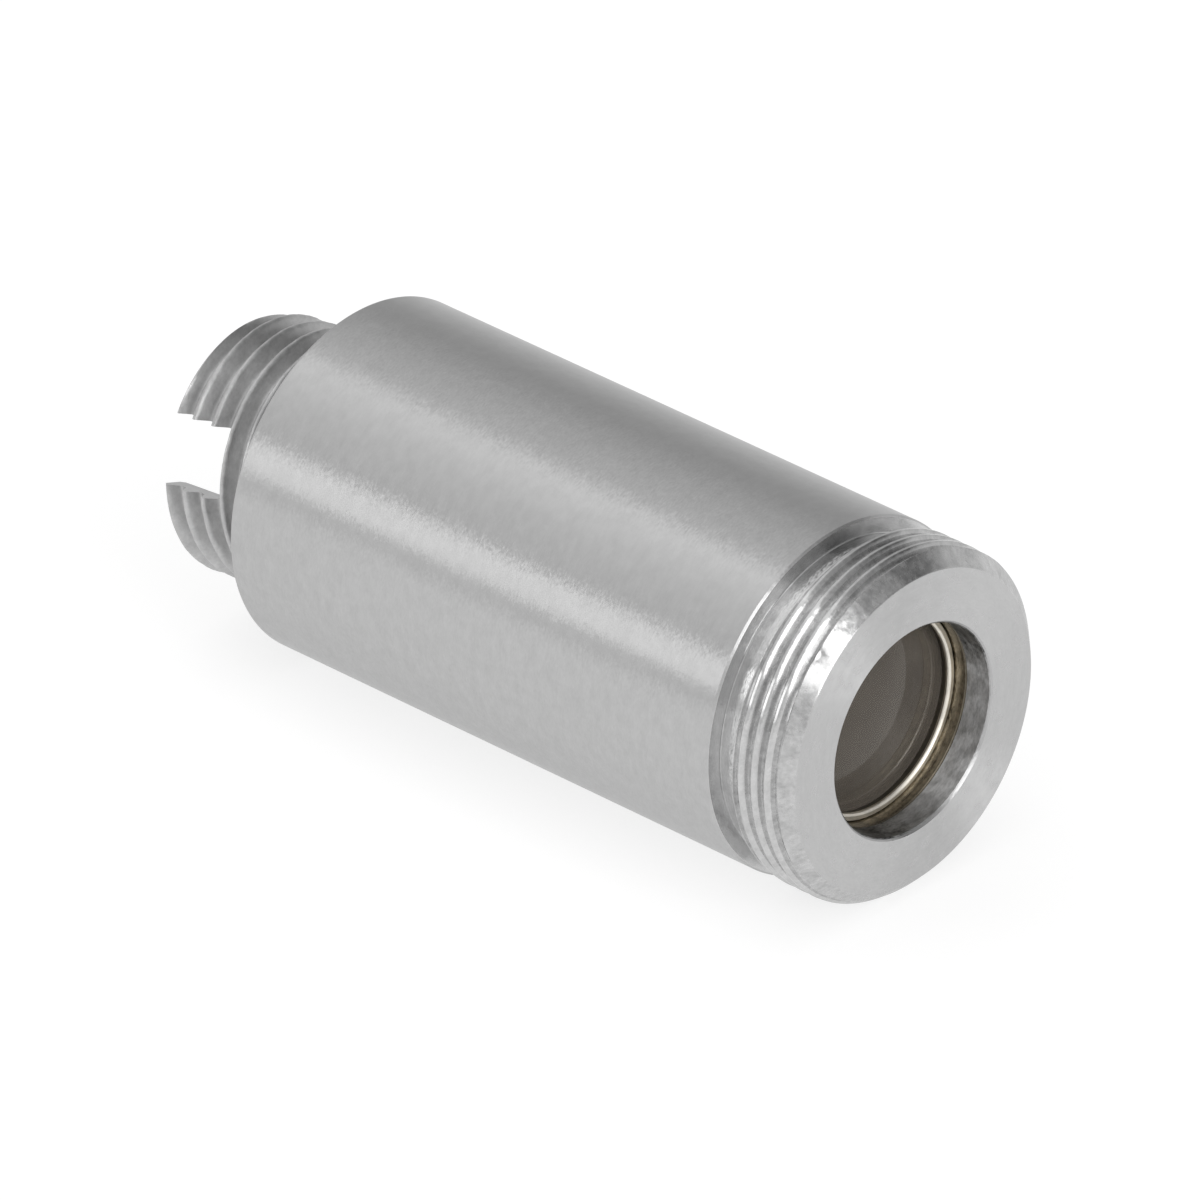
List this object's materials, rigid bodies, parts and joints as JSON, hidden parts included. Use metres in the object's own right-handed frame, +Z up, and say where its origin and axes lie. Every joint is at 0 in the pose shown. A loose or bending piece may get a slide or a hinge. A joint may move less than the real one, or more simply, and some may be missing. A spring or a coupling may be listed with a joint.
{
  "type": "fibre collimator",
  "caption": "Slim steel fibre collimator: smooth barrel, threaded nose round a recessed lens, and a leaning threaded receptacle with key slot for an angled fibre connector.",
  "frame": {"origin": "on the optical axis, half way along the smooth barrel, where a mount grips it", "axes": "+X along the optical axis, the way the collimated beam leaves; +Z up; the connector's key slot opens towards -Y, 18.8 degrees above level"},
  "size_m": [0.0263, 0.011, 0.011],
  "materials": {
    "barrel_steel": "fine turned stainless steel, satin",
    "receptacle_steel": "turned stainless steel, a little glossier",
    "lens_glass": "clear optical glass with an antireflection coating",
    "ring_metal": "bright turned metal",
    "cell_metal": "turned metal, darkened, brown sheen"
  },
  "bodies": {
    "root": {"barrel": "barrel_steel", "receptacle": "receptacle_steel", "lens": "lens_glass", "lens_retaining_ring": "ring_metal", "lens_cell": "cell_metal", "cell_lock_ring": "cell_metal"}
  },
  "joints": []
}
